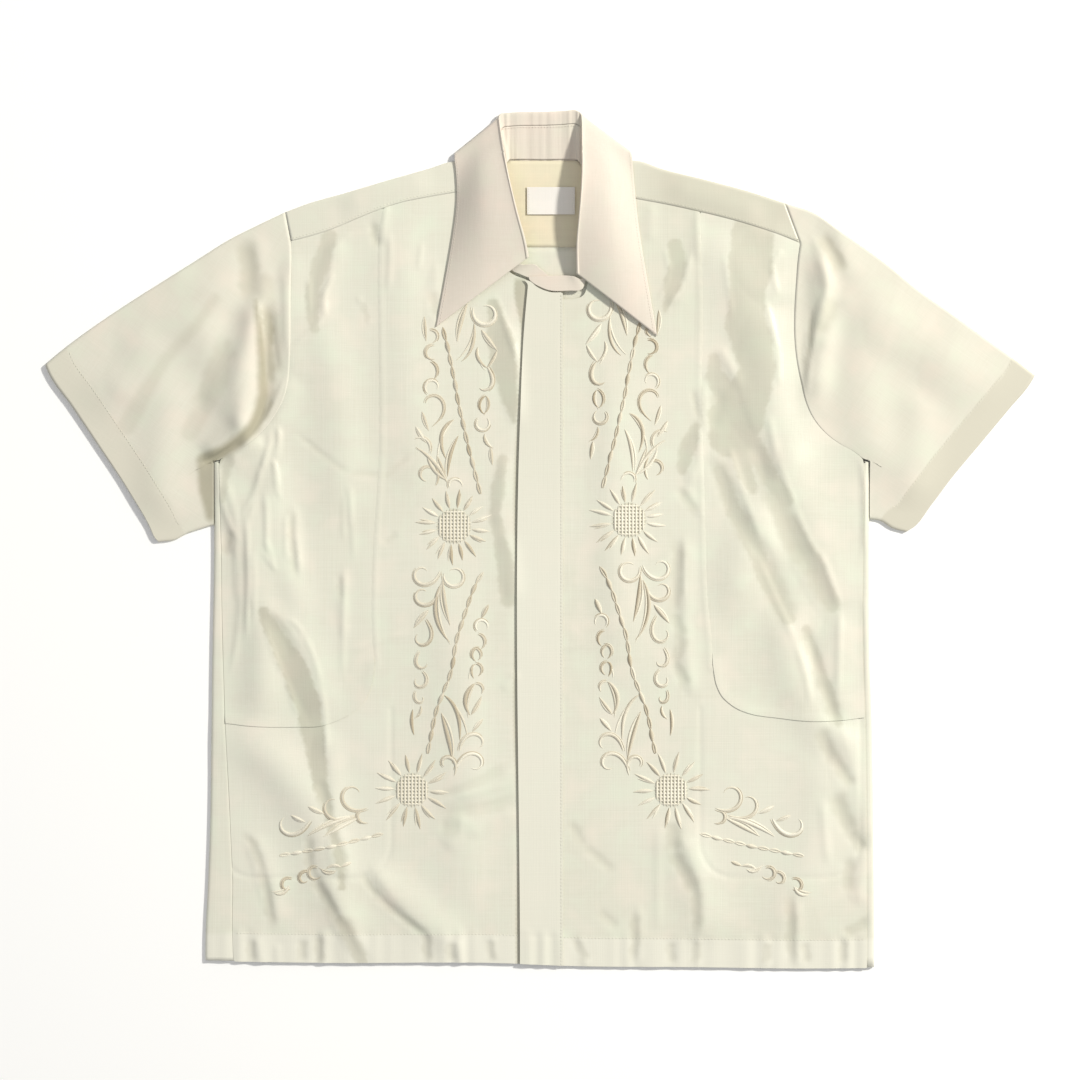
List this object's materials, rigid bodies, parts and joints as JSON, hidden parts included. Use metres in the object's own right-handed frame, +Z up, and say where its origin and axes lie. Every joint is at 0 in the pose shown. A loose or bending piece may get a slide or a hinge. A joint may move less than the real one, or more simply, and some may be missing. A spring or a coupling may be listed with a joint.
{
  "type": "barong tagalog shirt",
  "caption": "Short-sleeved embroidered barong tagalog shirt laid flat, with a long pointed collar, hidden-button fly band and inset hip pockets.",
  "frame": {"origin": "centre of the laid shirt's outline, on the surface that it lies on", "axes": "+X to the viewer's right across the shirt, from cuff to cuff; +Y towards the collar; +Z up out of the surface, through the front"},
  "size_m": [0.8716, 0.7557, 0.0195],
  "materials": {
    "body_cloth": "sheer cream cloth with a silky sheen",
    "sleeve_cloth": "matte cream cloth",
    "collar_cloth": "matte beige cloth, stiffened",
    "label_cloth": "woven satin ribbon",
    "thread": "raised satin stitch in cream silk thread"
  },
  "bodies": {
    "root": {"back": "body_cloth", "yoke": "body_cloth", "front_left": "body_cloth", "front_right": "body_cloth", "side_left": "body_cloth", "side_right": "body_cloth", "pouch_left": "body_cloth", "pouch_right": "body_cloth", "placket": "body_cloth", "sleeve_left": "sleeve_cloth", "sleeve_right": "sleeve_cloth", "collar_leaf": "collar_cloth", "collar_stand": "collar_cloth", "label": "label_cloth"}
  },
  "joints": []
}
